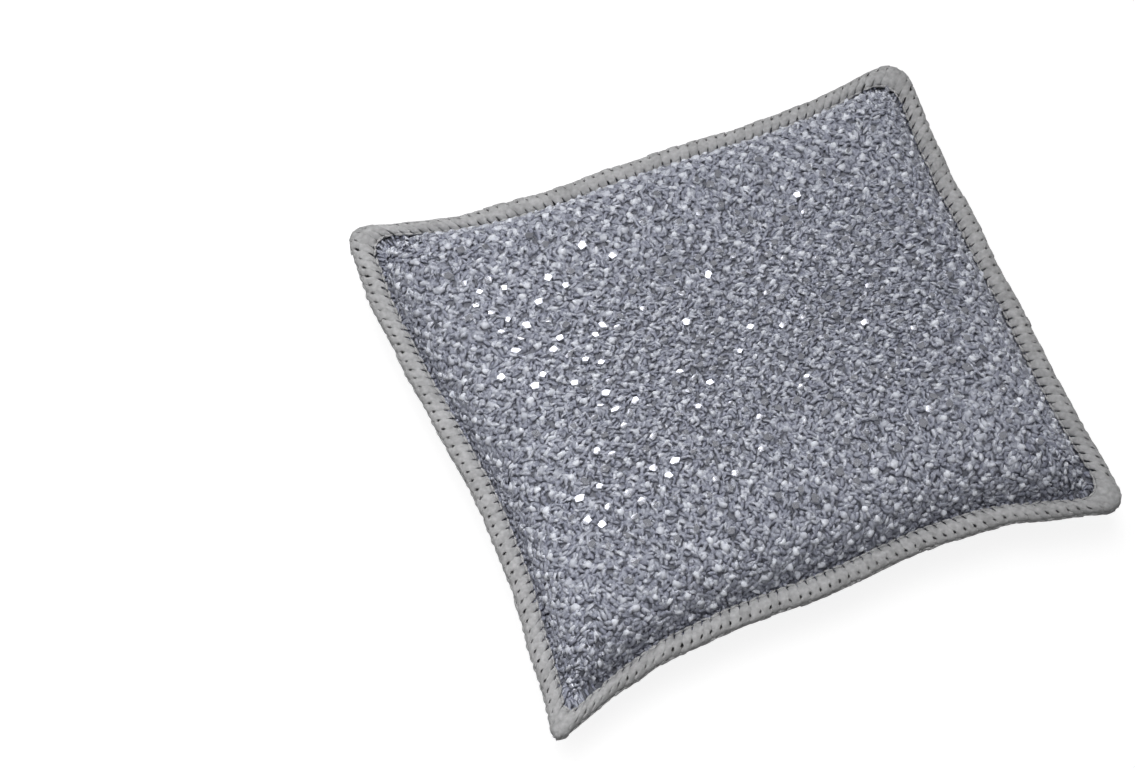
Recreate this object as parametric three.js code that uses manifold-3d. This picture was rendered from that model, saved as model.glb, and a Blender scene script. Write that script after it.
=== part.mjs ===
// Scrub sponge: a foam pad in two covers knitted from metallised yarn, overlocked together all round.
// Millimetres, +Z up. The sponge lies on its lower cover, with the origin under its middle.

import * as THREE from 'three';
import { mergeVertices } from 'three/addons/utils/BufferGeometryUtils.js';
import Module from 'manifold-3d';

// Overall size: the seam's corners are the tips of four ears, cut a little out of square
const LENGTH = 116;
const LEFT_WIDTH = 112.6;
const RIGHT_WIDTH = 106.4;
const THICKNESS = 25;

// Each edge is drawn in between its ears: the depth of its hollow, that hollow's lean towards the first ear,
// and how much steeper it is beside both ears
const BACK_DRAW = [6.2, 0.6, 1.2];
const RIGHT_DRAW = [2.6, 0.1, 0.6];
const FRONT_DRAW = [9.4, 0.3, 1.7];
const LEFT_DRAW = [2.7, 1.6, -0.3];

// Where each ear starts to round, before and after its tip
const BACK_LEFT_ROUNDING = 6.4;
const BACK_RIGHT_ROUNDING = 9;
const FRONT_RIGHT_ROUNDING = 9;
const FRONT_LEFT_ROUNDING = 4;

// Knitted covers, with the raised stitches drawn a little wider apart than the yarn's own
const COVER_THICKNESS = 0.6;
const KNIT_RELIEF = 0.35;
const RELIEF_WALE = 2.6;
const RELIEF_COURSE = 3.2;

// Filled form
const SHOULDER = 14;
const FULLNESS = 2.4;
const CORNER_FULLNESS = 4;
const CROWN = 2;
const FOAM_SIDE_INSET = 0.8;

// Overlocked edge
const EDGING_WIDTH = 4;
const EDGE_THREAD = 1.1;
const THREAD_THICKNESS = 0.7;
const STITCH_LENGTH = 2;
const STITCH_RELIEF = 0.22;

// Clearance between touching pieces
const CLEARANCE = 0.3;

const MEAN_WIDTH = (LEFT_WIDTH + RIGHT_WIDTH) / 2;
const SEAM_HEIGHT = THICKNESS / 2;
const SEAM_ALLOWANCE = CLEARANCE / 2 + COVER_THICKNESS;
const PANEL_INSET = EDGE_THREAD + 2 * CLEARANCE;
const EAR_ROUNDINGS = [BACK_LEFT_ROUNDING, BACK_RIGHT_ROUNDING, FRONT_RIGHT_ROUNDING, FRONT_LEFT_ROUNDING];
const WALL_INSET = EDGING_WIDTH + CLEARANCE;
const SLOT_HALF = SEAM_ALLOWANCE + CLEARANCE;
const EDGING_HALF = SLOT_HALF + THREAD_THICKNESS;

const wasm = await Module();
wasm.setup();
const { clamp, smoothstep } = THREE.MathUtils;

const upperKnit = new THREE.MeshStandardMaterial({ color: '#868994', roughness: 0.35, metalness: 0.6 });
const lowerKnit = new THREE.MeshStandardMaterial({ color: '#868994', roughness: 0.35, metalness: 0.6 });
const bulkedThread = new THREE.MeshStandardMaterial({ color: '#a3a19b', roughness: 0.85, metalness: 0 });
const foam = new THREE.MeshStandardMaterial({ color: '#d9d6cb', roughness: 0.95, metalness: 0 });

// Seam outline

// Ear tips in order round the seam: back left, back right, front right, front left
function earTips(inset) {
  const side = LENGTH / 2 - inset;
  const leftEnd = LEFT_WIDTH / 2 - inset;
  const rightEnd = RIGHT_WIDTH / 2 - inset;
  return [
    new THREE.Vector2(-side, leftEnd),
    new THREE.Vector2(side, rightEnd),
    new THREE.Vector2(side, -rightEnd),
    new THREE.Vector2(-side, -leftEnd),
  ];
}

// An edge from ear tip to ear tip, drawn in by one, two and three half waves
class SewnEdge extends THREE.Curve {
  constructor(start, end, inward, draw) {
    super();
    Object.assign(this, { start, end, inward, draw });
  }

  getPoint(t, target = new THREE.Vector2()) {
    const waves = this.draw.map((depth, wave) => depth * Math.sin((wave + 1) * Math.PI * t));
    const drawn = waves.reduce((sum, depth) => sum + depth);
    return target.lerpVectors(this.start, this.end, t).addScaledVector(this.inward, drawn);
  }
}

// The back, right, front and left edges
function seamEdges(inset) {
  const tips = earTips(inset);
  const draws = [BACK_DRAW, RIGHT_DRAW, FRONT_DRAW, LEFT_DRAW];
  const inward = [[0, -1], [-1, 0], [0, 1], [1, 0]];
  return tips.map((start, edge) => {
    const end = tips[(edge + 1) % tips.length];
    return new SewnEdge(start, end, new THREE.Vector2(...inward[edge]), draws[edge]);
  });
}

const seamLine = seamEdges(0);
const edgeLengths = seamLine.map((edge) => edge.getLength());

// The rounded tip of the ear that follows an edge
function earCurve(edges, k) {
  const next = (k + 1) % edges.length;
  const start = edges[k].getPointAt(1 - EAR_ROUNDINGS[next] / edgeLengths[k]);
  const end = edges[next].getPointAt(EAR_ROUNDINGS[next] / edgeLengths[next]);
  return new THREE.QuadraticBezierCurve(start, edges[k].end, end);
}

const earStitches = seamLine.map((_, k) => Math.round(earCurve(seamLine, k).getLength() / STITCH_LENGTH));

// Points round the seam at an inset, two to a stitch, with the ear tips rounded
function seamPoints(inset) {
  const edges = seamEdges(inset);
  const points = [];
  edges.forEach((edge, k) => {
    const next = (k + 1) % edges.length;
    const sewn = edgeLengths[k] - EAR_ROUNDINGS[k] - EAR_ROUNDINGS[next];
    const steps = 2 * Math.round(sewn / STITCH_LENGTH);
    for (let i = 0; i < steps; i += 1) {
      points.push(edge.getPointAt((EAR_ROUNDINGS[k] + sewn * i / steps) / edgeLengths[k]));
    }
    const ear = earCurve(edges, k);
    const earSteps = 2 * earStitches[k];
    for (let i = 0; i < earSteps; i += 1) {
      points.push(ear.getPoint(i / earSteps));
    }
  });
  return points;
}

// Panel plan

const panelEdges = seamEdges(PANEL_INSET);
const panelTips = earTips(PANEL_INSET);

// The edges' curves take up space in the middle of the panel, so distances near an edge stay true
function takeUp(line, span, shortfall) {
  const margin = WALL_INSET + SHOULDER;
  return line - shortfall * smoothstep(line, margin, span - margin);
}

// Plan position of a point from its distances to the left and front edges, blended from all four edges
function onPanel(fromLeft, fromFront) {
  const [back, right, front, left] = panelEdges;
  const [backLeft, backRight, frontRight, frontLeft] = panelTips;
  const length = LENGTH - 2 * PANEL_INSET;
  const width = MEAN_WIDTH - 2 * PANEL_INSET;
  const across = clamp((fromLeft - PANEL_INSET) / length, 0, 1);
  const along = clamp((fromFront - PANEL_INSET) / width, 0, 1);
  const lengthHere = right.getPoint(1 - along).x - left.getPoint(along).x;
  const widthHere = back.getPoint(across).y - front.getPoint(1 - across).y;
  const u = (takeUp(fromLeft, LENGTH, length - lengthHere) - PANEL_INSET) / lengthHere;
  const v = (takeUp(fromFront, MEAN_WIDTH, width - widthHere) - PANEL_INSET) / widthHere;
  const point = front.getPoint(1 - u).multiplyScalar(1 - v);
  point.addScaledVector(back.getPoint(u), v);
  point.addScaledVector(left.getPoint(v), 1 - u);
  point.addScaledVector(right.getPoint(1 - v), u);
  point.addScaledVector(frontLeft, -(1 - u) * (1 - v));
  point.addScaledVector(frontRight, -u * (1 - v));
  point.addScaledVector(backLeft, -(1 - u) * v);
  return point.addScaledVector(backRight, -u * v);
}

// Index of the ear that a point of a panel lies nearest to
function nearestEar(fromLeft, fromFront) {
  const [backLeft, backRight, frontRight, frontLeft] = EAR_ROUNDINGS.keys();
  if (fromFront > MEAN_WIDTH / 2) {
    return fromLeft > LENGTH / 2 ? backRight : backLeft;
  }
  return fromLeft > LENGTH / 2 ? frontRight : frontLeft;
}

// The panels' rims are trimmed near the ears, to follow the ears' rounding. A corner lies on both its rims.
function trimRim(fromLeft, fromFront) {
  const rounding = EAR_ROUNDINGS[nearestEar(fromLeft, fromFront)] + 2 * PANEL_INSET;
  const fromSide = Math.min(fromLeft, LENGTH - fromLeft) - PANEL_INSET;
  const fromEnd = Math.min(fromFront, MEAN_WIDTH - fromFront) - PANEL_INSET;
  const trim = (distance) => {
    const share = clamp(distance / rounding, 0, 1);
    return Math.min(rounding / 4, rounding * (1 - Math.sqrt(share)) ** 2);
  };
  const moveLeft = fromSide > fromEnd + CLEARANCE ? 0 : trim(fromEnd);
  const moveFront = fromEnd > fromSide + CLEARANCE ? 0 : trim(fromSide);
  return [
    fromLeft + Math.sign(LENGTH / 2 - fromLeft) * moveLeft,
    fromFront + Math.sign(MEAN_WIDTH / 2 - fromFront) * moveFront,
  ];
}

// Filled form

// Closeness of a grid line to the foot of the side wall: 1 at the foot, 0 past the shoulder
function closeness(line, span, foot) {
  return clamp(1 - (Math.min(line, span - line) - foot) / SHOULDER, 0, 1);
}

// The filled form's corners are rounder than the panels': its grid lines bend round them
function roundCorner(fromLeft, fromFront, foot) {
  const a = closeness(fromLeft, LENGTH, foot);
  const b = closeness(fromFront, MEAN_WIDTH, foot);
  if (a === 0 || b === 0) {
    return [fromLeft, fromFront];
  }
  const reach = (a ** CORNER_FULLNESS + b ** CORNER_FULLNESS) ** (1 / CORNER_FULLNESS);
  const move = SHOULDER * (1 - Math.max(a, b) / reach);
  return [
    fromLeft + Math.sign(LENGTH / 2 - fromLeft) * a * move,
    fromFront + Math.sign(MEAN_WIDTH / 2 - fromFront) * b * move,
  ];
}

// Height from the seam of the layer that lies a depth below the outer skin
function layerHeight(fromLeft, fromFront, depth, crown) {
  const foot = WALL_INSET + depth;
  const nearest = Math.max(closeness(fromLeft, LENGTH, foot), closeness(fromFront, MEAN_WIDTH, foot));
  const rise = (1 - nearest ** FULLNESS) ** (1 / FULLNESS);
  const across = 2 * fromLeft / LENGTH - 1;
  const along = 2 * fromFront / MEAN_WIDTH - 1;
  const dome = crown * (1 - across ** 2) * (1 - along ** 2);
  const reach = THICKNESS - SEAM_HEIGHT - SEAM_ALLOWANCE - crown + dome;
  return SEAM_ALLOWANCE - depth + reach * rise;
}

// Grid lines across the pad: close together up the side wall, then an even number of equal steps
function gridLines(span, start, depth, step) {
  const foot = WALL_INSET + depth;
  const wall = [0, 0.05, 0.2, 0.5, 1].map((share) => foot + share * SHOULDER);
  const near = [start, ...wall.filter((line) => line > start)];
  const shoulder = near.at(-1);
  const middle = span - 2 * shoulder;
  const steps = Math.max(2, 2 * Math.round(middle / step / 2));
  const inner = Array.from({ length: steps - 1 }, (_, i) => shoulder + middle * (i + 1) / steps);
  return [...near, ...inner, ...near.map((line) => span - line).reverse()];
}

// A closed block of grid cells from a start line inwards, with its upper and lower faces set by height
function griddedBlock({ start, depth, wale, course, upper, lower }) {
  const xs = gridLines(LENGTH, start, depth, wale);
  const ys = gridLines(MEAN_WIDTH, start, depth, course);
  const lastX = xs.length - 1;
  const lastY = ys.length - 1;
  const block = new THREE.BoxGeometry(1, 1, 1, lastX, lastY, 1);
  const position = block.attributes.position;
  for (let n = 0; n < position.count; n += 1) {
    const i = Math.round((position.getX(n) + 0.5) * lastX);
    const j = Math.round((position.getY(n) + 0.5) * lastY);
    const onRim = start === PANEL_INSET && (i % lastX === 0 || j % lastY === 0);
    const spot = onRim ? trimRim(xs[i], ys[j]) : roundCorner(xs[i], ys[j], WALL_INSET + depth);
    const plan = onPanel(...spot);
    const height = position.getZ(n) > 0 ? upper : lower;
    position.setXYZ(n, plan.x, plan.y, SEAM_HEIGHT + height(xs[i], ys[j], i, j));
  }
  block.deleteAttribute('normal');
  block.deleteAttribute('uv');
  return mergeVertices(block);
}

// Hollowing one closed form by another

function toSolid(geometry) {
  const vertProperties = new Float32Array(geometry.attributes.position.array);
  const triVerts = new Uint32Array(geometry.index.array);
  return new wasm.Manifold(new wasm.Mesh({ numProp: 3, vertProperties, triVerts }));
}

function hollow(body, core) {
  const mesh = toSolid(body).subtract(toSolid(core)).getMesh();
  const geometry = new THREE.BufferGeometry();
  geometry.setAttribute('position', new THREE.BufferAttribute(new Float32Array(mesh.vertProperties), 3));
  geometry.setIndex(new THREE.BufferAttribute(new Uint32Array(mesh.triVerts), 1));
  return geometry;
}

// Pieces

const smoothGrid = { wale: SHOULDER, course: SHOULDER };
const outerSkin = { ...smoothGrid, start: PANEL_INSET, depth: 0 };
const innerSkin = { ...smoothGrid, start: WALL_INSET + COVER_THICKNESS, depth: COVER_THICKNESS };

// Upper cover: a dished panel with a flat seam allowance, and every other stitch of the knit standing up
function topCover() {
  const knitted = (x, y, i, j) => {
    const smooth = layerHeight(x, y, 0, CROWN);
    const standing = (smooth - SEAM_ALLOWANCE) / (THICKNESS - SEAM_HEIGHT - SEAM_ALLOWANCE);
    return smooth - (i + j) % 2 * KNIT_RELIEF * standing;
  };
  const panel = griddedBlock({
    ...outerSkin,
    wale: RELIEF_WALE,
    course: RELIEF_COURSE,
    upper: knitted,
    lower: () => CLEARANCE / 2,
  });
  const filling = griddedBlock({
    ...innerSkin,
    upper: (x, y) => layerHeight(x, y, COVER_THICKNESS, CROWN),
    lower: () => -COVER_THICKNESS,
  });
  return hollow(panel, filling);
}

// Lower cover: the same panel turned over, pressed flat where the sponge rests
function bottomCover() {
  const panel = griddedBlock({
    ...outerSkin,
    upper: () => -CLEARANCE / 2,
    lower: (x, y) => -layerHeight(x, y, 0, 0),
  });
  const filling = griddedBlock({
    ...innerSkin,
    upper: () => COVER_THICKNESS,
    lower: (x, y) => -layerHeight(x, y, COVER_THICKNESS, 0),
  });
  return hollow(panel, filling);
}

// Foam: a block with blunt sides, drawn into a pillow by the covers
function foamCore() {
  const depth = COVER_THICKNESS + CLEARANCE;
  return griddedBlock({
    ...smoothGrid,
    start: WALL_INSET + depth + FOAM_SIDE_INSET,
    depth,
    upper: (x, y) => layerHeight(x, y, depth, CROWN),
    lower: (x, y) => -layerHeight(x, y, depth, 0),
  });
}

// Overlocking: a band of thread lapped over both panels' edges, ridged once for each stitch
function overlockEdging() {
  const section = [
    { inset: EDGING_WIDTH, height: SLOT_HALF, groove: 0 },
    { inset: EDGE_THREAD, height: EDGING_HALF, groove: -STITCH_RELIEF },
    { inset: 0, height: 0, groove: 0 },
    { inset: EDGE_THREAD, height: -EDGING_HALF, groove: STITCH_RELIEF },
    { inset: EDGING_WIDTH, height: -SLOT_HALF, groove: 0 },
    { inset: EDGE_THREAD, height: -SLOT_HALF, groove: 0 },
    { inset: EDGE_THREAD, height: SLOT_HALF, groove: 0 },
  ];
  const loops = section.map((corner) => seamPoints(corner.inset));
  const rings = loops[0].length;
  const positions = [];
  const triangles = [];
  section.forEach((corner, side) => {
    const base = side * rings;
    const nextBase = (side + 1) % section.length * rings;
    loops[side].forEach((point, ring) => {
      const nextRing = (ring + 1) % rings;
      positions.push(point.x, point.y, SEAM_HEIGHT + corner.height + ring % 2 * corner.groove);
      triangles.push(base + ring, base + nextRing, nextBase + nextRing);
      triangles.push(base + ring, nextBase + nextRing, nextBase + ring);
    });
  });
  const band = new THREE.BufferGeometry();
  band.setAttribute('position', new THREE.Float32BufferAttribute(positions, 3));
  band.setIndex(triangles);
  return band;
}

const sponge = new THREE.Group();

function addPiece(name, geometry, material) {
  geometry.computeVertexNormals();
  const mesh = new THREE.Mesh(geometry, material);
  mesh.name = name;
  sponge.add(mesh);
}

addPiece('foam_core', foamCore(), foam);
addPiece('top_cover', topCover(), upperKnit);
addPiece('bottom_cover', bottomCover(), lowerKnit);
addPiece('overlock_edging', overlockEdging(), bulkedThread);

// The origin lies under the middle of the finished outline
const outline = new THREE.Box3().setFromObject(sponge);
sponge.position.x = -(outline.min.x + outline.max.x) / 2;
sponge.position.y = -(outline.min.y + outline.max.y) / 2;

export default sponge;
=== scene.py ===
"""Scrub sponge: a foam pad in two covers knitted from metallised film yarn, overlocked together all round."""

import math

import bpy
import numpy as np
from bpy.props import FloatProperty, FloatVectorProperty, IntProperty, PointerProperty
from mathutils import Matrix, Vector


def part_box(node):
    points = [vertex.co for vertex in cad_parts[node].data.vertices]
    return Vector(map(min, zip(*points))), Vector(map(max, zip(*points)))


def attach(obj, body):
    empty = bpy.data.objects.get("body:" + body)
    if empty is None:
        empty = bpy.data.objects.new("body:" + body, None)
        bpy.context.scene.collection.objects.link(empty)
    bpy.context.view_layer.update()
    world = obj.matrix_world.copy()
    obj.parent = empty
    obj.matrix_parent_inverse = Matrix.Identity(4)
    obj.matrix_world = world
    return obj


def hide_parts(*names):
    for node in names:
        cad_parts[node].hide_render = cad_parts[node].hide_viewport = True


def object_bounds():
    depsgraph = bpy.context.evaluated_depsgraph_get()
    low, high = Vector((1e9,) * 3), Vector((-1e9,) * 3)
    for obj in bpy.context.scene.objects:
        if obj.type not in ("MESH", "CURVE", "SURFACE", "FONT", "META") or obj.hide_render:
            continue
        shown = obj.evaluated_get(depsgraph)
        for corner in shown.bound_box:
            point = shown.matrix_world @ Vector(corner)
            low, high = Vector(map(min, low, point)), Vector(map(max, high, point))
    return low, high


bl_info = {
    "name": "Scrub Sponge",
    "version": (1, 0, 0),
    "blender": (4, 5, 0),
    "location": "View3D > Sidebar > Sponge",
    "description": "Dresses the sponge's solids with knitted covers, overlocking thread and foam",
    "category": "Add Mesh",
}

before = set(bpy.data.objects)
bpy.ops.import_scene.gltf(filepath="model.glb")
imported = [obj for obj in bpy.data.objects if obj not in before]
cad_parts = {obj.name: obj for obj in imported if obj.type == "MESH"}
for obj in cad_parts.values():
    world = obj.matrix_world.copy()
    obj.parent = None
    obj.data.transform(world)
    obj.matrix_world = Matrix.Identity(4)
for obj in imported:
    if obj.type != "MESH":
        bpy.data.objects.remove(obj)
CAD_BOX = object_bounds()
EDGING_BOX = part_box("overlock_edging")

MM = 0.001
BODY = "root"
UPPER, LOWER = 1, -1


def linear(code):
    """An sRGB hex colour as linear red, green and blue."""
    parts = [int(code[i:i + 2], 16) / 255 for i in (1, 3, 5)]
    return [p / 12.92 if p <= 0.04045 else ((p + 0.055) / 1.055) ** 2.4 for p in parts]


# Settings

class FormSettings(bpy.types.PropertyGroup):
    """Sizes of the sewn and filled form, the same as the solids'"""

    length: FloatProperty(
        name="Length", description="Between the ear tips, left to right", default=116 * MM, unit="LENGTH")
    left_width: FloatProperty(
        name="Left width", description="Between the left ear tips", default=112.6 * MM, unit="LENGTH")
    right_width: FloatProperty(
        name="Right width", description="Between the right ear tips", default=106.4 * MM, unit="LENGTH")
    thickness: FloatProperty(
        name="Thickness", description="Floor to crown", default=CAD_BOX[1].z - CAD_BOX[0].z, unit="LENGTH")
    seam_height: FloatProperty(
        name="Seam height", description="Floor to the middle of the sewn edge",
        default=(EDGING_BOX[0].z + EDGING_BOX[1].z) / 2, unit="LENGTH")
    back_draw: FloatVectorProperty(
        name="Back draw", description="Depth, lean and steepness of the back edge's hollow",
        size=3, default=(6.2 * MM, 0.6 * MM, 1.2 * MM), unit="LENGTH")
    right_draw: FloatVectorProperty(
        name="Right draw", description="Depth, lean and steepness of the right edge's hollow",
        size=3, default=(2.6 * MM, 0.1 * MM, 0.6 * MM), unit="LENGTH")
    front_draw: FloatVectorProperty(
        name="Front draw", description="Depth, lean and steepness of the front edge's hollow",
        size=3, default=(9.4 * MM, 0.3 * MM, 1.7 * MM), unit="LENGTH")
    left_draw: FloatVectorProperty(
        name="Left draw", description="Depth, lean and steepness of the left edge's hollow",
        size=3, default=(2.7 * MM, 1.6 * MM, -0.3 * MM), unit="LENGTH")
    ear_rounding: FloatVectorProperty(
        name="Ear rounding",
        description="Where the back left, back right, front right and front left ear round",
        size=4, default=(6.4 * MM, 9 * MM, 9 * MM, 4 * MM), unit="LENGTH")
    stitch_length: FloatProperty(
        name="Stitch length", description="Spacing of the overlocking's stitches",
        default=2 * MM, unit="LENGTH")
    wall_inset: FloatProperty(
        name="Wall inset", description="Seam edge to the foot of the filled side",
        default=4.3 * MM, unit="LENGTH")
    seam_allowance: FloatProperty(
        name="Seam allowance", description="Middle of the seam to a cover's face there",
        default=0.75 * MM, unit="LENGTH")
    shoulder: FloatProperty(
        name="Shoulder", description="Width of the side's curve", default=14 * MM, unit="LENGTH")
    fullness: FloatProperty(
        name="Fullness", description="How square the side's curve is", default=2.4)
    corner_fullness: FloatProperty(
        name="Corner fullness", description="How square the filled corners are", default=4)
    crown: FloatProperty(
        name="Crown", description="How far the middle of the upper face stands up",
        default=2 * MM, unit="LENGTH")
    foot_ease: FloatProperty(
        name="Foot ease", description="How gently the covers rise from the seam",
        default=1 * MM, unit="LENGTH")
    rim_inset: FloatProperty(
        name="Rim inset", description="Seam edge to the covers' cut edges", default=2.4 * MM, unit="LENGTH")
    foam_depth: FloatProperty(
        name="Foam depth", description="Covers' outer face to the foam", default=0.95 * MM, unit="LENGTH")
    foam_inset: FloatProperty(
        name="Foam inset", description="Foot of the covers' side to the foam's edge",
        default=0.8 * MM, unit="LENGTH")


class KnitSettings(bpy.types.PropertyGroup):
    """Sizes and colours of the knitted covers"""

    wale: FloatProperty(
        name="Wale", description="Stitch spacing, left to right", default=2.15 * MM, unit="LENGTH")
    course: FloatProperty(
        name="Course", description="Stitch spacing, front to back", default=2.45 * MM, unit="LENGTH")
    ground_depth: FloatProperty(
        name="Ground depth", description="Outer face to the ground cloth", default=0.6 * MM, unit="LENGTH")
    cloth_thickness: FloatProperty(
        name="Cloth thickness", description="Thickness of the ground cloth", default=0.2 * MM, unit="LENGTH")
    strands: IntProperty(
        name="Strands", description="Strands of film to a stitch in each of the upper cover's lays",
        default=4)
    strand_length: FloatProperty(
        name="Strand length", description="Length of a strand between its dives",
        default=2.3 * MM, unit="LENGTH")
    strand_width: FloatProperty(
        name="Strand width", description="Width of the slit film", default=1.2 * MM, unit="LENGTH")
    strand_thickness: FloatProperty(
        name="Strand thickness", description="Thickness of the crimped film", default=0.4 * MM, unit="LENGTH")
    strand_lift: FloatProperty(
        name="Strand lift", description="Ground cloth to the top of the highest lay",
        default=0.5 * MM, unit="LENGTH")
    strand_bend: FloatProperty(
        name="Strand bend", description="How far a strand bows sideways", default=0.25 * MM, unit="LENGTH")
    raised_length: FloatProperty(
        name="Raised length", description="Length of a raised stitch", default=1.8 * MM, unit="LENGTH")
    raised_width: FloatProperty(
        name="Raised width", description="Width of a raised stitch", default=1.5 * MM, unit="LENGTH")
    raised_thickness: FloatProperty(
        name="Raised thickness", description="Thickness of a raised stitch", default=0.6 * MM, unit="LENGTH")
    raised_lift: FloatProperty(
        name="Raised lift", description="Ground cloth to the top of a raised stitch",
        default=0.7 * MM, unit="LENGTH")
    fleck_size: FloatProperty(
        name="Fleck size", description="Width of film that lies flat on a raised stitch",
        default=1.5 * MM, unit="LENGTH")
    fleck_share: FloatProperty(
        name="Fleck share", description="Share of the raised stitches with film that lies flat",
        default=0.42, subtype="FACTOR")
    film_thickness: FloatProperty(
        name="Film thickness", description="Thickness of the flat film", default=0.07 * MM, unit="LENGTH")
    yaw: FloatProperty(
        name="Yaw", description="How far strands turn in the cloth",
        default=math.radians(35), subtype="ANGLE")
    twist: FloatProperty(
        name="Twist", description="How far strands turn about themselves",
        default=math.radians(20), subtype="ANGLE")
    tilt: FloatProperty(
        name="Tilt", description="How far flat film leans out of the cloth",
        default=math.radians(4), subtype="ANGLE")
    pull_reach: FloatProperty(
        name="Pull reach", description="How far up from the overlocking its stitches pull the knit straight",
        default=5 * MM, unit="LENGTH")
    dome: FloatProperty(
        name="Dome", description="How far flat film bulges at its rim",
        default=math.radians(2.5), subtype="ANGLE")
    seed: IntProperty(name="Seed", description="Chooses the stitches' lie", default=7)
    film_dark: FloatVectorProperty(
        name="Dark film", description="Film yarn at its darkest",
        subtype="COLOR", size=3, default=linear("#8c8f9f"))
    film_light: FloatVectorProperty(
        name="Light film", description="Film yarn at its lightest",
        subtype="COLOR", size=3, default=linear("#f4f7ff"))
    film_flat: FloatVectorProperty(
        name="Flat film", description="Film that lies flat",
        subtype="COLOR", size=3, default=linear("#c6c8d2"))
    ground_colour: FloatVectorProperty(
        name="Ground", description="Ground yarn", subtype="COLOR", size=3, default=linear("#74767f"))


class EdgeSettings(bpy.types.PropertyGroup):
    """Sizes and colour of the overlocked edge"""

    width: FloatProperty(
        name="Width", description="Seam edge to the needle line", default=4 * MM, unit="LENGTH")
    height: FloatProperty(
        name="Height", description="Middle of the seam to the strands' crown",
        default=(EDGING_BOX[1].z - EDGING_BOX[0].z) / 2, unit="LENGTH")
    strand_width: FloatProperty(
        name="Strand width", description="Widest part of a bulked strand", default=3.1 * MM, unit="LENGTH")
    strand_thickness: FloatProperty(
        name="Strand thickness", description="Thickest part of a bulked strand",
        default=0.55 * MM, unit="LENGTH")
    purl_thickness: FloatProperty(
        name="Purl thickness", description="Thickness of the purl along the edge",
        default=0.75 * MM, unit="LENGTH")
    needle_thickness: FloatProperty(
        name="Needle thread", description="Thickness of the needle thread",
        default=0.55 * MM, unit="LENGTH")
    wander: FloatProperty(
        name="Wander", description="How far the sewn edge wanders in and out",
        default=0.14 * MM, unit="LENGTH")
    wander_reach: FloatProperty(
        name="Wander reach", description="Length of seam over which it wanders",
        default=5 * MM, unit="LENGTH")
    seed: IntProperty(name="Seed", description="Chooses the strands' lie", default=11)
    colour: FloatVectorProperty(
        name="Thread", description="Bulked thread", subtype="COLOR", size=3, default=linear("#afafb0"))


class StageSettings(bpy.types.PropertyGroup):
    """Camera, lights and floor"""

    azimuth: FloatProperty(
        name="Azimuth", description="Camera's turn to the right",
        default=math.radians(-28.06), subtype="ANGLE")
    elevation: FloatProperty(
        name="Elevation", description="Camera's height angle", default=math.radians(63.49), subtype="ANGLE")
    distance: FloatProperty(
        name="Distance", description="Camera to the sponge's middle", default=579.9 * MM, unit="LENGTH")
    aim: FloatVectorProperty(
        name="Aim", description="Point that the camera looks at", size=3,
        default=(-29.14 * MM, 9.74 * MM, 12.5 * MM), subtype="XYZ", unit="LENGTH")
    lens: FloatProperty(name="Lens", description="Focal length in millimetres", default=98.37)
    soft_box_place: FloatVectorProperty(
        name="Soft box", description="Place of the soft box", size=3,
        default=(-115 * MM, 30 * MM, 440 * MM), subtype="XYZ", unit="LENGTH")
    soft_box_aim: FloatVectorProperty(
        name="Soft box aim", description="Point that the soft box faces", size=3,
        default=(-110 * MM, -12 * MM, 0), subtype="XYZ", unit="LENGTH")
    soft_box_size: FloatProperty(
        name="Soft box size", description="Width of the soft box", default=400 * MM, unit="LENGTH")
    soft_box_power: FloatProperty(
        name="Soft box power", description="Power of the soft box", default=0.27, unit="POWER")
    soft_box_spread: FloatProperty(
        name="Soft box spread", description="Angle that the soft box's grid lets through",
        default=math.radians(58), subtype="ANGLE")
    spark_place: FloatVectorProperty(
        name="Spark", description="Place of the lamp that flat film mirrors", size=3,
        default=(-22 * MM, 185 * MM, 330 * MM), subtype="XYZ", unit="LENGTH")
    spark_size: FloatProperty(
        name="Spark size", description="Width of the lamp that flat film mirrors",
        default=160 * MM, unit="LENGTH")
    spark_power: FloatProperty(
        name="Spark power", description="Power of the lamp that flat film mirrors",
        default=0.22, unit="POWER")
    room_way: FloatVectorProperty(
        name="Room", description="Way to the brightest part of the room", size=3,
        default=(-0.1, 0.2, 0.95), subtype="DIRECTION")
    room_dark: FloatProperty(
        name="Room at its darkest", description="Light from the side away from the brightest part",
        default=0.05)
    room_bright: FloatProperty(
        name="Room at its brightest", description="Light from the brightest part", default=0.36)
    floor_size: FloatProperty(
        name="Floor", description="Side of the floor", default=6, unit="LENGTH")


SETTINGS = (
    ("sponge_form", FormSettings),
    ("sponge_knit", KnitSettings),
    ("sponge_edge", EdgeSettings),
    ("sponge_stage", StageSettings),
)


# Seam outline and filled form

# Length of an ear's curve as a multiple of its rounding
EAR_RUN = 1.6
# Most that an ear trims off a cover's rim, as a share of its rounding
MOST_TRIM = 0.25
# Distance within which a point counts as on a cover's rim
RIM_REACH = MM / 10


def ear_tips(form, inset):
    """Ear tips in order round the seam: back left, back right, front right, front left."""
    side = form.length / 2 - inset
    left = form.left_width / 2 - inset
    right = form.right_width / 2 - inset
    return np.array([(-side, left), (side, right), (side, -right), (-side, -left)])


def seam_edges(form, inset):
    """The back, right, front and left edge: start, end, inward direction and how far it is drawn in."""
    tips = ear_tips(form, inset)
    draws = (form.back_draw, form.right_draw, form.front_draw, form.left_draw)
    inward = np.array([(0, -1), (-1, 0), (0, 1), (1, 0)])
    return [(tips[k], tips[(k + 1) % len(tips)], inward[k], draws[k]) for k in range(len(tips))]


def on_edge(line, share):
    """Points on an edge at a share of its span, drawn in by one, two and three half waves."""
    start, end, inward, draw = line
    t = np.asarray(share, float)[..., None]
    drawn = sum(depth * np.sin((wave + 1) * math.pi * t) for wave, depth in enumerate(draw))
    return start + (end - start) * t + inward * drawn


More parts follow.
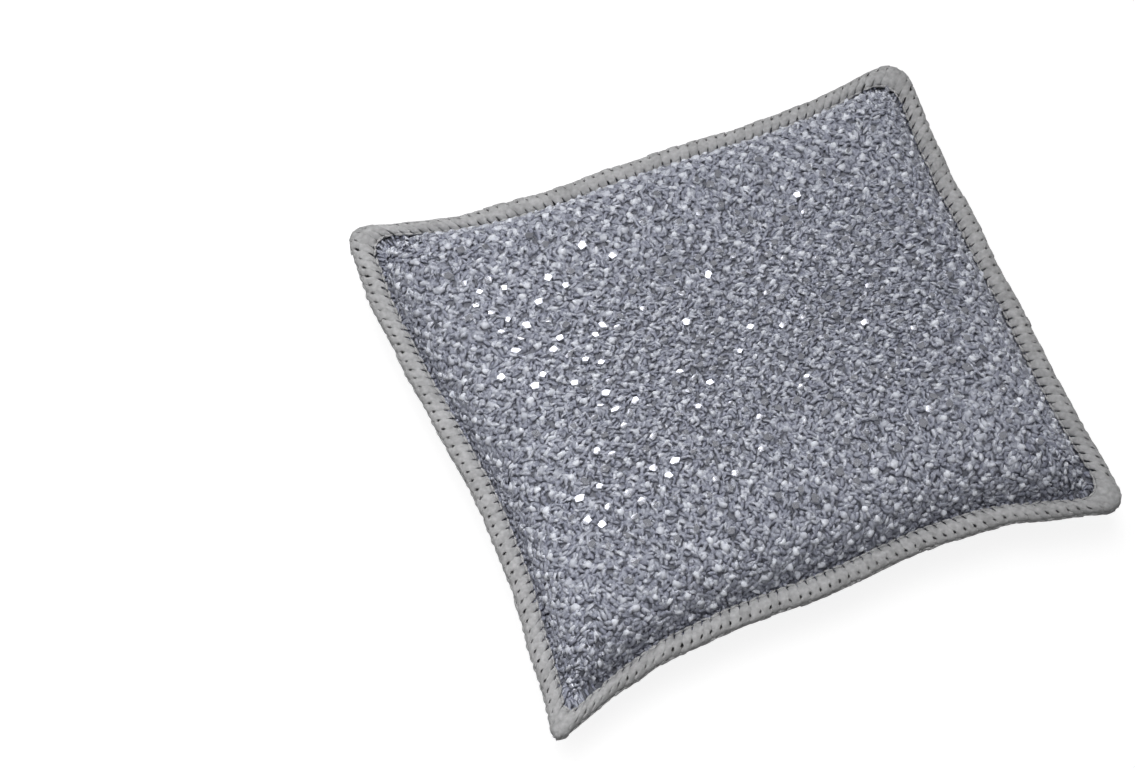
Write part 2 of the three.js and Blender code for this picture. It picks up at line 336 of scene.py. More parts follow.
def by_length(line, samples=2000):
    """A function from a share of an edge's length to a point on it, and that length."""
    shares = np.linspace(0, 1, samples)
    points = on_edge(line, shares)
    run = np.concatenate([[0], np.cumsum(np.linalg.norm(np.diff(points, axis=0), axis=1))])
    return (lambda share: on_edge(line, np.interp(np.asarray(share) * run[-1], run, shares))), run[-1]


def seam_points(form, inset):
    """Points round the seam at an inset, two to a stitch, with the ear tips rounded."""
    lengths = [by_length(line)[1] for line in seam_edges(form, 0)]
    curves = [by_length(line)[0] for line in seam_edges(form, inset)]
    tips = ear_tips(form, inset)
    points = []
    for k, curve in enumerate(curves):
        following = (k + 1) % len(curves)
        before, after = form.ear_rounding[k], form.ear_rounding[following]
        sewn = lengths[k] - before - after
        steps = 2 * round(sewn / form.stitch_length)
        points.extend(curve((before + sewn * np.arange(steps) / steps) / lengths[k]))
        start = curve(1 - after / lengths[k])
        end = curves[following](after / lengths[following])
        ear_steps = 2 * round(EAR_RUN * after / form.stitch_length)
        for t in np.arange(ear_steps) / ear_steps:
            points.append(start * (1 - t) ** 2 + 2 * tips[following] * t * (1 - t) + end * t ** 2)
    return np.array(points)


def mean_width(form):
    """Width halfway between the left and right ears."""
    return (form.left_width + form.right_width) / 2


def take_up(form, line, span, shortfall):
    """The edges' curves take up space in the middle of a panel, so distances near an edge stay true."""
    margin = form.wall_inset + form.shoulder
    share = np.clip((line - margin) / (span - 2 * margin), 0, 1)
    return line - shortfall * share ** 2 * (3 - 2 * share)


def on_panel(form, from_left, from_front):
    """Plan position of a point from its distances to the left and front edges, blended from all four."""
    inset = form.rim_inset
    back, right, front, left = seam_edges(form, inset)
    back_left, back_right, front_right, front_left = ear_tips(form, inset)
    length = form.length - 2 * inset
    width = mean_width(form) - 2 * inset
    across = np.clip((from_left - inset) / length, 0, 1)
    along = np.clip((from_front - inset) / width, 0, 1)
    length_here = on_edge(right, 1 - along)[..., 0] - on_edge(left, along)[..., 0]
    width_here = on_edge(back, across)[..., 1] - on_edge(front, 1 - across)[..., 1]
    u = (take_up(form, from_left, form.length, length - length_here) - inset) / length_here
    v = (take_up(form, from_front, mean_width(form), width - width_here) - inset) / width_here
    sides = on_edge(left, v) * (1 - u)[..., None] + on_edge(right, 1 - v) * u[..., None]
    ends = on_edge(front, 1 - u) * (1 - v)[..., None] + on_edge(back, u) * v[..., None]
    corners = (
        front_left * ((1 - u) * (1 - v))[..., None] + front_right * (u * (1 - v))[..., None]
        + back_left * ((1 - u) * v)[..., None] + back_right * (u * v)[..., None]
    )
    return sides + ends - corners


def closeness(form, line, span, foot):
    """Closeness of a line to the foot of the side wall: 1 at the foot, 0 past the shoulder."""
    return np.clip(1 - (np.minimum(line, span - line) - foot) / form.shoulder, 0, 1)


def round_corner(form, from_left, from_front, foot):
    """The filled form's corners are rounder than the panels': its lines bend round them."""
    width = mean_width(form)
    a = closeness(form, from_left, form.length, foot)
    b = closeness(form, from_front, width, foot)
    power = form.corner_fullness
    reach = (a ** power + b ** power) ** (1 / power)
    from_edge = np.minimum(
        np.minimum(from_left, form.length - from_left), np.minimum(from_front, width - from_front))
    from_rim = np.clip((from_edge - form.rim_inset) / (foot - form.rim_inset), 0, 1)
    squareness = np.divide(np.maximum(a, b), reach, out=np.ones_like(reach), where=reach > 0)
    move = form.shoulder * from_rim * (1 - squareness)
    return (
        from_left + np.sign(form.length / 2 - from_left) * a * move,
        from_front + np.sign(width / 2 - from_front) * b * move,
    )


def nearest_rounding(form, from_left, from_front):
    """Rounding of the ear that a point of a panel lies nearest to."""
    back_left, back_right, front_right, front_left = form.ear_rounding
    back = np.where(from_left > form.length / 2, back_right, back_left)
    front = np.where(from_left > form.length / 2, front_right, front_left)
    return np.where(from_front > mean_width(form) / 2, back, front)


def trim_rim(form, from_left, from_front):
    """The covers' rims are trimmed near the ears, to follow the ears' rounding."""
    width = mean_width(form)
    rounding = nearest_rounding(form, from_left, from_front) + 2 * form.rim_inset
    from_side = np.minimum(from_left, form.length - from_left) - form.rim_inset
    from_end = np.minimum(from_front, width - from_front) - form.rim_inset

    def trim(other, own):
        share = np.clip(other / rounding, 0, 1)
        cut = np.minimum(rounding * MOST_TRIM, rounding * (1 - np.sqrt(share)) ** 2)
        return np.where(own < other + RIM_REACH, cut, 0) * (own < RIM_REACH)

    return (
        from_left + np.sign(form.length / 2 - from_left) * trim(from_end, from_side),
        from_front + np.sign(width / 2 - from_front) * trim(from_side, from_end),
    )


def layer_height(form, from_left, from_front, depth, crown):
    """Height from the seam of the layer that lies a depth below the outer skin."""
    width = mean_width(form)
    foot = form.wall_inset + depth
    nearest = np.maximum(
        closeness(form, from_left, form.length, foot), closeness(form, from_front, width, foot))
    rise = (1 - nearest ** form.fullness) ** (1 / form.fullness)
    rise *= 1 - np.exp(-(1 - nearest) * form.shoulder / form.foot_ease)
    across = 2 * from_left / form.length - 1
    along = 2 * from_front / width - 1
    dome = crown * (1 - across ** 2) * (1 - along ** 2)
    reach = form.thickness - form.seam_height - form.seam_allowance - crown + dome
    return form.seam_allowance - depth + reach * rise


def seat(form):
    """Shift that puts the seam outline where the frame's edging lies."""
    outline = seam_points(form, 0)
    middle = (outline.min(0) + outline.max(0)) / 2
    held = (EDGING_BOX[0] + EDGING_BOX[1]) / 2
    return np.array([held.x - middle[0], held.y - middle[1]])


def skin_points(form, side, from_left, from_front, depth):
    """Points of the upper or lower layer at a depth below the outer skin."""
    rounded_x, rounded_y = round_corner(form, from_left, from_front, form.wall_inset + depth)
    trimmed_x, trimmed_y = trim_rim(form, from_left, from_front)
    plan = on_panel(form, rounded_x + trimmed_x - from_left, rounded_y + trimmed_y - from_front) + seat(form)
    crown = form.crown if side == UPPER else 0
    height = layer_height(form, from_left, from_front, depth, crown)
    return np.dstack([plan[..., 0], plan[..., 1], form.seam_height + side * height])


def cloth_lines(form, span, pitch, samples=400):
    """Distances from an edge to the lines between stitches, even along the cloth, and the cloth's run."""
    foot = form.wall_inset
    wall = foot + form.shoulder * np.linspace(0, 1, samples) ** 2
    line = np.concatenate([np.linspace(form.rim_inset, foot, samples), wall[1:], [span / 2]])
    height = layer_height(form, line, np.full_like(line, mean_width(form) / 2), 0, 0)
    run = np.concatenate([[0], np.cumsum(np.hypot(np.diff(line), np.diff(height)))])
    count = round(2 * run[-1] / pitch)
    along = np.linspace(0, 2 * run[-1], count + 1)
    near = np.interp(np.minimum(along, along[-1] - along), run, line)
    return np.where(along <= run[-1], near, span - near), 2 * run[-1]


# Meshes

# Edges of creased pieces that turn by more than this stay sharp
CREASE = math.radians(30)
# Share of a thread's girth under which a point lies at its end
END_GIRTH = 1e-4
# Place beside a shape from which no two of its faces are equally far
ORDER_PLACE = (5.3 * MM, 3.1 * MM, 1.7 * MM)


def fresh_object(name):
    """The primitive just added, renamed."""
    made = bpy.context.object
    made.name = name
    made.data.name = name
    return made


def clear_selection():
    """Leaves edit mode and deselects everything."""
    if bpy.context.object and bpy.context.object.mode != "OBJECT":
        bpy.ops.object.mode_set(mode="OBJECT")
    bpy.ops.object.select_all(action="DESELECT")


def choose(made):
    """Makes a piece the only one that operators act on."""
    clear_selection()
    made.select_set(True)
    bpy.context.view_layer.objects.active = made


def vertex_array(made):
    """A piece's points as rows."""
    points = np.empty(len(made.data.vertices) * 3)
    made.data.vertices.foreach_get("co", points)
    return points.reshape(-1, 3)


def move_vertices(made, points):
    """Puts a piece's points where the rows say."""
    made.data.vertices.foreach_set("co", np.asarray(points).ravel())
    made.data.update()


def dress(made, material, slot, *nodes, creased=False):
    """Finishes a piece: shading, material, body and the solids that it stands for. Its slot is not used."""
    choose(made)
    if creased:
        bpy.ops.object.shade_smooth_by_angle(angle=CREASE)
    else:
        bpy.ops.object.shade_smooth()
    made.data.materials.clear()
    made.data.materials.append(material)
    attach(made, BODY)
    if nodes:
        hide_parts(*nodes)


class Shape:
    """A small mesh that is laid many times: its points, faces and own UV map."""

    def __init__(self, made):
        choose(made)
        bpy.ops.object.mode_set(mode="EDIT")
        bpy.ops.mesh.select_all(action="SELECT")
        # A sphere's faces come in another order on each run, so they are sorted by their distance
        cursor = bpy.context.scene.cursor
        cursor.location = ORDER_PLACE
        bpy.ops.mesh.sort_elements(type="CURSOR_DISTANCE", elements={"FACE"})
        cursor.location = (0, 0, 0)
        bpy.ops.uv.smart_project(island_margin=0.02)
        bpy.ops.object.mode_set(mode="OBJECT")
        mesh = made.data
        self.points = vertex_array(made)
        self.corners = np.empty(len(mesh.loops), np.int32)
        mesh.loops.foreach_get("vertex_index", self.corners)
        self.starts = np.empty(len(mesh.polygons), np.int32)
        mesh.polygons.foreach_get("loop_start", self.starts)
        uv = np.empty(len(mesh.loops) * 2)
        mesh.uv_layers.active.data.foreach_get("uv", uv)
        self.uv = uv.reshape(-1, 2)
        bpy.data.objects.remove(made)

    def lay(self, name, places, tones):
        """One mesh of all the copies, each with its own points, tone and field of the baking map."""
        count, size = places.shape[:2]
        mesh = bpy.data.meshes.new(name)
        mesh.vertices.add(count * size)
        mesh.vertices.foreach_set("co", places.ravel())
        offsets = np.arange(count)[:, None]
        mesh.loops.add(count * len(self.corners))
        mesh.loops.foreach_set("vertex_index", (self.corners + offsets * size).ravel())
        mesh.polygons.add(count * len(self.starts))
        mesh.polygons.foreach_set("loop_start", (self.starts + offsets * len(self.corners)).ravel())
        mesh.update(calc_edges=True)
        tone = mesh.attributes.new("tone", "FLOAT", "POINT")
        tone.data.foreach_set("value", np.repeat(tones, size).astype(np.float32))
        columns = math.ceil(math.sqrt(count))
        field = np.stack([np.arange(count) % columns, np.arange(count) // columns], 1)[:, None, :]
        bake = mesh.uv_layers.new(name="OFBake")
        bake.data.foreach_set("uv", ((field + self.uv[None]) / columns).ravel())
        made = bpy.data.objects.new(name, mesh)
        bpy.context.scene.collection.objects.link(made)
        return made


def thread_rings(name, rings, sides=8):
    """A closed thread: its object, each point's share of the run and its place round the thread."""
    clear_selection()
    bpy.ops.mesh.primitive_uv_sphere_add(segments=sides, ring_count=rings, radius=1)
    thread = fresh_object(name)
    ball = vertex_array(thread)
    run = np.arccos(np.clip(ball[:, 2], -1, 1)) / math.pi
    girth = np.hypot(ball[:, 0], ball[:, 1])[:, None]
    around = np.divide(ball[:, :2], girth, out=np.zeros_like(ball[:, :2]), where=girth > END_GIRTH)
    return thread, run, around


def outward(thread):
    """Turns all faces of a thread outwards and makes it a shape to lay."""
    bpy.ops.object.mode_set(mode="EDIT")
    bpy.ops.mesh.select_all(action="SELECT")
    bpy.ops.mesh.normals_make_consistent(inside=False)
    bpy.ops.object.mode_set(mode="OBJECT")
    return Shape(thread)


# Materials

# Most of a noise's values lie between these
NOISE_REACH = {"From_Min": 0.3, "From_Max": 0.7}


def new_material(name):
    """An empty material and its nodes."""
    material = bpy.data.materials.new(name)
    material.use_nodes = True
    material.node_tree.nodes.clear()
    return material, material.node_tree


def add_node(tree, kind, settings=None, **inputs):
    """Adds a node with its settings, sets or links its inputs by identifier, and gives its outputs."""
    node = tree.nodes.new(kind)
    for key, value in (settings or {}).items():
        setattr(node, key, value)
    sockets = {socket.identifier.replace(" ", "_"): socket for socket in node.inputs}
    for key, value in inputs.items():
        if isinstance(value, bpy.types.NodeSocket):
            tree.links.new(value, sockets[key])
        else:
            sockets[key].default_value = value
    return {socket.identifier: socket for socket in node.outputs}


def tint(colour, share=1):
    """A colour made darker or lighter by a share, with the opacity that a socket takes."""
    return (*(part * share for part in colour), 1)


def film_yarn_material(knit):
    """Metallised polyester film, slit, crimped and knitted: nearly matt, finely crinkled, in many tones with
    painted light and shade.
    """
    # Crimped this finely, the film scatters light, so little of its metal shows.
    # The crinkles are drawn as coarse as they need to be to show.
    crinkle_width = 0.6 * MM
    material, tree = new_material("metallised polyester film yarn, knitted")
    place = add_node(tree, "ShaderNodeTexCoord")["Object"]
    crinkle = add_node(tree, "ShaderNodeTexNoise", Vector=place, Scale=1 / crinkle_width, Detail=2)["Fac"]
    # The tone holds each strand's own tone with painted light and shade laid on: lighter on high fields and
    # raised stitches, darker on low fields, lower lays and near the seam
    tone = add_node(tree, "ShaderNodeAttribute", {"attribute_name": "tone"})["Fac"]
    change = add_node(
        tree, "ShaderNodeMapRange", Value=crinkle, To_Min=-0.07, To_Max=0.07, **NOISE_REACH)["Result"]
    varied = add_node(tree, "ShaderNodeMath", {"operation": "ADD"}, Value=tone, Value_001=change)["Value"]
    colour = add_node(
        tree, "ShaderNodeMix", {"data_type": "RGBA"}, Factor_Float=varied,
        A_Color=tint(knit.film_dark), B_Color=tint(knit.film_light))["Result_Color"]
    roughness = add_node(
        tree, "ShaderNodeMapRange", Value=crinkle, To_Min=0.38, To_Max=0.52, **NOISE_REACH)["Result"]
    bump = add_node(tree, "ShaderNodeBump", Height=crinkle, Strength=0.2, Distance=0.1 * MM)["Normal"]
    shader = add_node(
        tree, "ShaderNodeBsdfPrincipled", Base_Color=colour, Metallic=0.04, Roughness=roughness,
        Specular_IOR_Level=0.25, Normal=bump)["BSDF"]
    add_node(tree, "ShaderNodeOutputMaterial", Surface=shader)
    return material


def flat_film_material(knit):
    """Metallised polyester film, slit, where it lies flat: small mirrors that flash white in a lamp."""
    crinkle_width = 0.8 * MM
    material, tree = new_material("metallised polyester film, flat")
    place = add_node(tree, "ShaderNodeTexCoord")["Object"]
    crinkle = add_node(tree, "ShaderNodeTexNoise", Vector=place, Scale=1 / crinkle_width, Detail=2)["Fac"]
    colour = add_node(
        tree, "ShaderNodeMix", {"data_type": "RGBA"}, Factor_Float=crinkle,
        A_Color=tint(knit.film_flat, share=0.8), B_Color=tint(knit.film_flat, share=1.2))["Result_Color"]
    roughness = add_node(
        tree, "ShaderNodeMapRange", Value=crinkle, To_Min=0.1, To_Max=0.18, **NOISE_REACH)["Result"]
    shader = add_node(
        tree, "ShaderNodeBsdfPrincipled", Base_Color=colour, Metallic=0.9, Roughness=roughness)["BSDF"]
    add_node(tree, "ShaderNodeOutputMaterial", Surface=shader)
    return material


def ground_yarn_material(knit):
    """Textured polyester ground yarn, knitted: a dull blue-grey net under the film."""
    fibre_width = 0.35 * MM
    material, tree = new_material("textured polyester ground yarn, knitted")
    place = add_node(tree, "ShaderNodeTexCoord")["Object"]
    fibres = add_node(tree, "ShaderNodeTexNoise", Vector=place, Scale=1 / fibre_width, Detail=3)["Fac"]
    colour = add_node(
        tree, "ShaderNodeMix", {"data_type": "RGBA"}, Factor_Float=fibres,
        A_Color=tint(knit.ground_colour, share=0.6),
        B_Color=tint(knit.ground_colour, share=1.5))["Result_Color"]
    bump = add_node(tree, "ShaderNodeBump", Height=fibres, Strength=0.5, Distance=0.2 * MM)["Normal"]
    shader = add_node(
        tree, "ShaderNodeBsdfPrincipled",
        Base_Color=colour, Metallic=0.3, Roughness=0.5, Normal=bump)["BSDF"]
    add_node(tree, "ShaderNodeOutputMaterial", Surface=shader)
    return material


def thread_material(edge):
    """Bulked polyester thread, overlocked: a soft matt fuzz of fine crimped fibres."""
    # The crimped fibres are drawn as tufts, as coarse as they need to be to show.
    tuft_width = 0.8 * MM
    tone_share = 0.15
    material, tree = new_material("bulked polyester thread, overlocked")
    place = add_node(tree, "ShaderNodeTexCoord")["Object"]
    fibres = add_node(tree, "ShaderNodeTexNoise", Vector=place, Scale=1 / tuft_width, Detail=4)["Fac"]
    tone = add_node(tree, "ShaderNodeAttribute", {"attribute_name": "tone"})["Fac"]
    varied = add_node(
        tree, "ShaderNodeMix", Factor_Float=tone_share, A_Float=fibres, B_Float=tone)["Result_Float"]
    colour = add_node(
        tree, "ShaderNodeMix", {"data_type": "RGBA"}, Factor_Float=varied,
        A_Color=tint(edge.colour, share=0.45), B_Color=tint(edge.colour, share=1.55))["Result_Color"]
    bump = add_node(tree, "ShaderNodeBump", Height=fibres, Strength=0.5, Distance=0.15 * MM)["Normal"]
    shader = add_node(
        tree, "ShaderNodeBsdfPrincipled",
        Base_Color=colour, Roughness=0.9, Sheen_Weight=0.3, Normal=bump)["BSDF"]
    add_node(tree, "ShaderNodeOutputMaterial", Surface=shader)
    return material


def foam_material():
    """Open-cell polyurethane foam, cut from a block: pale and full of small cells."""
    cell_width = 0.8 * MM
    material, tree = new_material("open-cell polyurethane foam, cut")
    place = add_node(tree, "ShaderNodeTexCoord")["Object"]
    cells = add_node(tree, "ShaderNodeTexVoronoi", Vector=place, Scale=1 / cell_width)["Distance"]
    colour = add_node(
        tree, "ShaderNodeMix", {"data_type": "RGBA"}, Factor_Float=cells,
        A_Color=tint(linear("#a59f8c")), B_Color=tint(linear("#e2ddcf")))["Result_Color"]
    bump = add_node(tree, "ShaderNodeBump", Height=cells, Strength=0.8, Distance=0.4 * MM)["Normal"]
    shader = add_node(
        tree, "ShaderNodeBsdfPrincipled", Base_Color=colour, Roughness=0.95, Normal=bump)["BSDF"]
    add_node(tree, "ShaderNodeOutputMaterial", Surface=shader)
    return material


def floor_material():
    """White studio sweep, painted: plain to the eye, with the sponge's shadow kept."""
    paint = tint(linear("#8b8b8b"))
    white = tint(linear("#ffffff"))
    glow_strength = 0.86
    material, tree = new_material("white studio floor")
    path = add_node(tree, "ShaderNodeLightPath")
    seen = add_node(
        tree, "ShaderNodeMath", {"operation": "MAXIMUM"},
        Value=path["Is Camera Ray"], Value_001=path["Is Glossy Ray"])["Value"]
    any_seen = add_node(
        tree, "ShaderNodeMath", {"operation": "MAXIMUM"},
        Value=seen, Value_001=path["Is Transmission Ray"])["Value"]
    glow = add_node(
        tree, "ShaderNodeMath", {"operation": "MULTIPLY"}, Value=any_seen, Value_001=glow_strength)["Value"]
    shader = add_node(
        tree, "ShaderNodeBsdfPrincipled",
        Base_Color=paint, Roughness=1, Emission_Color=white, Emission_Strength=glow)["BSDF"]
    add_node(tree, "ShaderNodeOutputMaterial", Surface=shader)
    return material


# Foam pad

FOAM_CUTS = 31


class SPONGE_OT_foam_pad(bpy.types.Operator):
    """Cut a foam block to the pillow form that the covers draw it into"""

    bl_idname = "sponge.foam_pad"
    bl_label = "Foam Pad"

    def execute(self, context):
        form = context.scene.sponge_form
        clear_selection()
        bpy.ops.mesh.primitive_cube_add(size=1)
        pad = fresh_object("foam_pad")
        bpy.ops.object.mode_set(mode="EDIT")
        bpy.ops.mesh.select_all(action="SELECT")
        bpy.ops.mesh.subdivide(number_cuts=FOAM_CUTS)
        bpy.ops.object.mode_set(mode="OBJECT")
        unit = vertex_array(pad) + 0.5
        start = form.wall_inset + form.foam_depth + form.foam_inset
        from_left = start + unit[:, 0] * (form.length - 2 * start)
        from_front = start + unit[:, 1] * (mean_width(form) - 2 * start)
        low, high = (
            skin_points(form, side, from_left[None], from_front[None], form.foam_depth)[0]
            for side in (LOWER, UPPER)
        )
        move_vertices(pad, low + (high - low) * unit[:, 2:])
        dress(pad, foam_material(), "foam", "foam_core")
        return {"FINISHED"}


# Knitted covers

# Least and most that the cloth's stretch changes a stitch's size
STITCH_STRETCH = (0.6, 1.8)
# Least and most of a strand's mean width, length and thickness
STRAND_SPREAD = (0.7, 1.3)
# How deep a strand's ends dive under the ground cloth, as a share of its lift
STRAND_DIVE = 0.6
# Mean rise of an arch, about which a strand bows
MEAN_RISE = 0.6
# The lays of strands: name, share of the lift, lean, and least and most tone
# The lower lays' tones are darker: painted shade where they lie under the others
LAYS = (
    ("under_strands", 0.3, -1, (0.05, 0.3)),
    ("middle_strands", 0.65, 1, (0.1, 0.42)),
    ("upper_strands", 1, -1, (0.15, 0.52)),
)
# Every other field stands high, with painted light, and the ones between lie low, with painted shade
HIGH_PAINTED_LIGHT, LOW_PAINTED_SHADE = 1.4, 0.6
# Shares of the tone, the strands and the strands' looseness that the seam's pull takes away; the tone taken
# away is painted shade at the foot of the side
PULLED_PAINTED_SHADE, PULLED_STRANDS, PULLED_YAW = 0.6, 0.5, 0.75
# Raised stitches stand where the seam pulls less than this, and drift by this share of a field
RAISED_PULL = 0.3
RAISED_DRIFT = 0.08
# Least and most tone of a raised stitch, lighter than the strands: painted light where it stands high
RAISED_PAINTED_LIGHT_TONES = (0.45, 1)
# Flat flecks lie where the cloth is at least this level
FLECK_LEVEL = 0.97
# How far the flecks' sizes spread, and their width across as a share of that along
FLECK_SPREAD = 0.2
FLECK_SLIMNESS = 0.85
# Distances from a fleck's middle to its torn rim, as shares of its radius
TORN_RIM = (1.15, 0.95, 1.1, 1.05, 0.7, 0.95, 0.9, 1.2, 0.85)


def add_cover(form, knit, side, name, node):
    """A ground cloth laid over the foam, one field of its grid for each stitch, and the size it is cut to."""
    lines_x, cut_x = cloth_lines(form, form.length, knit.wale)
    lines_y, cut_y = cloth_lines(form, mean_width(form), knit.course)
    fields_x, fields_y = len(lines_x) - 1, len(lines_y) - 1
    clear_selection()
    bpy.ops.mesh.primitive_grid_add(x_subdivisions=fields_x, y_subdivisions=fields_y, size=1)
    cover = fresh_object(name)
    unit = vertex_array(cover) + 0.5
    i = np.rint(unit[:, 0] * fields_x).astype(int)
    j = np.rint(unit[:, 1] * fields_y).astype(int)
    move_vertices(cover, skin_points(form, side, lines_x[i][None], lines_y[j][None], knit.ground_depth)[0])
    if side == LOWER:
        bpy.ops.object.mode_set(mode="EDIT")
        bpy.ops.mesh.select_all(action="SELECT")
        bpy.ops.mesh.flip_normals()
        bpy.ops.object.mode_set(mode="OBJECT")
    choose(cover)
    bpy.ops.object.modifier_add(type="SOLIDIFY")
    wall = cover.modifiers[-1]
    wall.thickness = knit.cloth_thickness
    wall.offset = -1
    bpy.ops.object.modifier_apply(modifier=wall.name)
    dress(cover, ground_yarn_material(knit), "knit", node)
    return cover, (cut_x, cut_y)


def turned(yaw, pitch, roll):
    """Turning matrices for stitches that turn in the cloth, then lean along and across it."""
    zero, one = np.zeros_like(yaw), np.ones_like(yaw)

    def rows(*items):
        return np.moveaxis(np.array(items).reshape(3, 3, -1), -1, 0)

    about_z = rows(np.cos(yaw), -np.sin(yaw), zero, np.sin(yaw), np.cos(yaw), zero, zero, zero, one)
    about_x = rows(one, zero, zero, zero, np.cos(pitch), -np.sin(pitch), zero, np.sin(pitch), np.cos(pitch))
    about_y = rows(np.cos(roll), zero, np.sin(roll), zero, one, zero, -np.sin(roll), zero, np.cos(roll))
    return about_z @ about_x @ about_y


class StitchFields:
    """Fields of a cover inside its rim: their place, axes and size, and how the seam pulls them."""

    def __init__(self, form, knit, edge, side):
        lines_x, _ = cloth_lines(form, form.length, knit.wale)
        lines_y, _ = cloth_lines(form, mean_width(form), knit.course)
        grid = skin_points(form, side, *np.meshgrid(lines_x, lines_y), knit.ground_depth)
        along_x = (grid[:-1, 1:] + grid[1:, 1:] - grid[:-1, :-1] - grid[1:, :-1]) / 2
        along_y = (grid[1:, :-1] + grid[1:, 1:] - grid[:-1, :-1] - grid[:-1, 1:]) / 2
        middle = (grid[:-1, :-1] + grid[:-1, 1:] + grid[1:, :-1] + grid[1:, 1:]) / 4
        out = np.cross(along_x, along_y) * side
        area = np.linalg.norm(out, axis=2, keepdims=True)
        spread = np.stack([along_x / knit.wale * side, along_y / knit.course, out / area], 3)
        stretch = np.linalg.norm(spread, axis=2, keepdims=True)
        run_x, up = spread[..., 0] / stretch[..., 0], spread[..., 2]
        axes = np.stack([run_x, np.cross(up, run_x), up], 3) * np.clip(stretch, *STITCH_STRETCH)
        seam = seam_points(form, 0) + seat(form)
        from_seam = np.linalg.norm(middle[:, :, None, :2] - seam, axis=3).min(2)
        shown = from_seam > form.rim_inset
        self.middle, self.axes, self.spread = middle[shown], axes[shown], spread[shown]
        self.share = area[shown][:, 0] / (knit.wale * knit.course)
        self.clear = from_seam[shown] > edge.width + knit.raised_length / 2
        self.set_pull(form, knit, shown)

    def set_pull(self, form, knit, shown):
        """Each shown field's row and column, how far the seam pulls its strands straight, and which way."""
        rows, columns = shown.shape
        row, column = np.mgrid[0:rows, 0:columns]
        from_sides = np.minimum(column + 0.5, columns - column - 0.5) * knit.wale
        from_ends = np.minimum(row + 0.5, rows - row - 0.5) * knit.course
        foot = form.wall_inset - form.rim_inset
        from_foot = np.minimum(from_sides, from_ends) - foot
        from_ear = np.maximum(from_sides, from_ends) - foot
        near_seam = np.clip(1 - from_foot / knit.pull_reach, 0, 1)
        past_ear = np.clip(from_ear / knit.pull_reach - 1, 0, 1)
        self.row, self.column = row[shown], column[shown]
        self.pulled = (near_seam * past_ear)[shown]
        self.across = np.where(from_sides < from_ends, math.pi / 2, 0)[shown]


def film_strand(name, rings, sides):
    """An arched strand with pointed ends: its shape, each point's share of the run and place round it."""
    strand, run, around = thread_rings(name, rings, sides)
    rise = np.sin(run * math.pi)
    arch = np.stack([around[:, 0] * rise, 2 * run - 1, rise + around[:, 1] * rise], 1)
    move_vertices(strand, arch * MM)
    return outward(strand), run, around


def film_fleck(knit):
    """A fleck of film of unit width with a torn rim, flat but for a slight dome."""
    clear_selection()
    bpy.ops.mesh.primitive_cylinder_add(
        vertices=len(TORN_RIM), radius=MM / 2, depth=knit.film_thickness, end_fill_type="TRIFAN")
    fleck = fresh_object("film_fleck")
    points = vertex_array(fleck)
    middle = np.hypot(points[:, 0], points[:, 1]) < MM / 4
    points[middle & (points[:, 2] > 0), 2] += math.tan(knit.dome) * MM / 2
    corner = np.rint(np.arctan2(points[:, 1], points[:, 0]) / math.tau * len(TORN_RIM)).astype(int)
    points[:, :2] *= np.array(TORN_RIM)[corner][:, None]
    move_vertices(fleck, points)
    return Shape(fleck)


def arched(knit, rng, count, run, around, size, lift):
    """Points of arched strands that twist and bow, before they are turned into place."""
    width, length, thickness = (one * rng.uniform(*STRAND_SPREAD, (count, 1)) for one in size)
    rise = np.sin(run * math.pi)
    girth = np.sqrt(rise)
    twist = rng.normal(0, knit.twist, (count, 1)) + rng.normal(0, 2 * knit.twist, (count, 1)) * (run - 0.5)
    across = around[:, 0] * girth * width / 2
    up = around[:, 1] * girth * thickness / 2
    bow = rng.normal(0, knit.strand_bend, (count, 1)) * (rise - MEAN_RISE)
    return np.stack([
        across * np.cos(twist) - up * np.sin(twist) + bow,
        (run - 0.5) * length,
        lift * ((1 + STRAND_DIVE) * rise - STRAND_DIVE) + across * np.sin(twist) + up * np.cos(twist),
    ], 2)


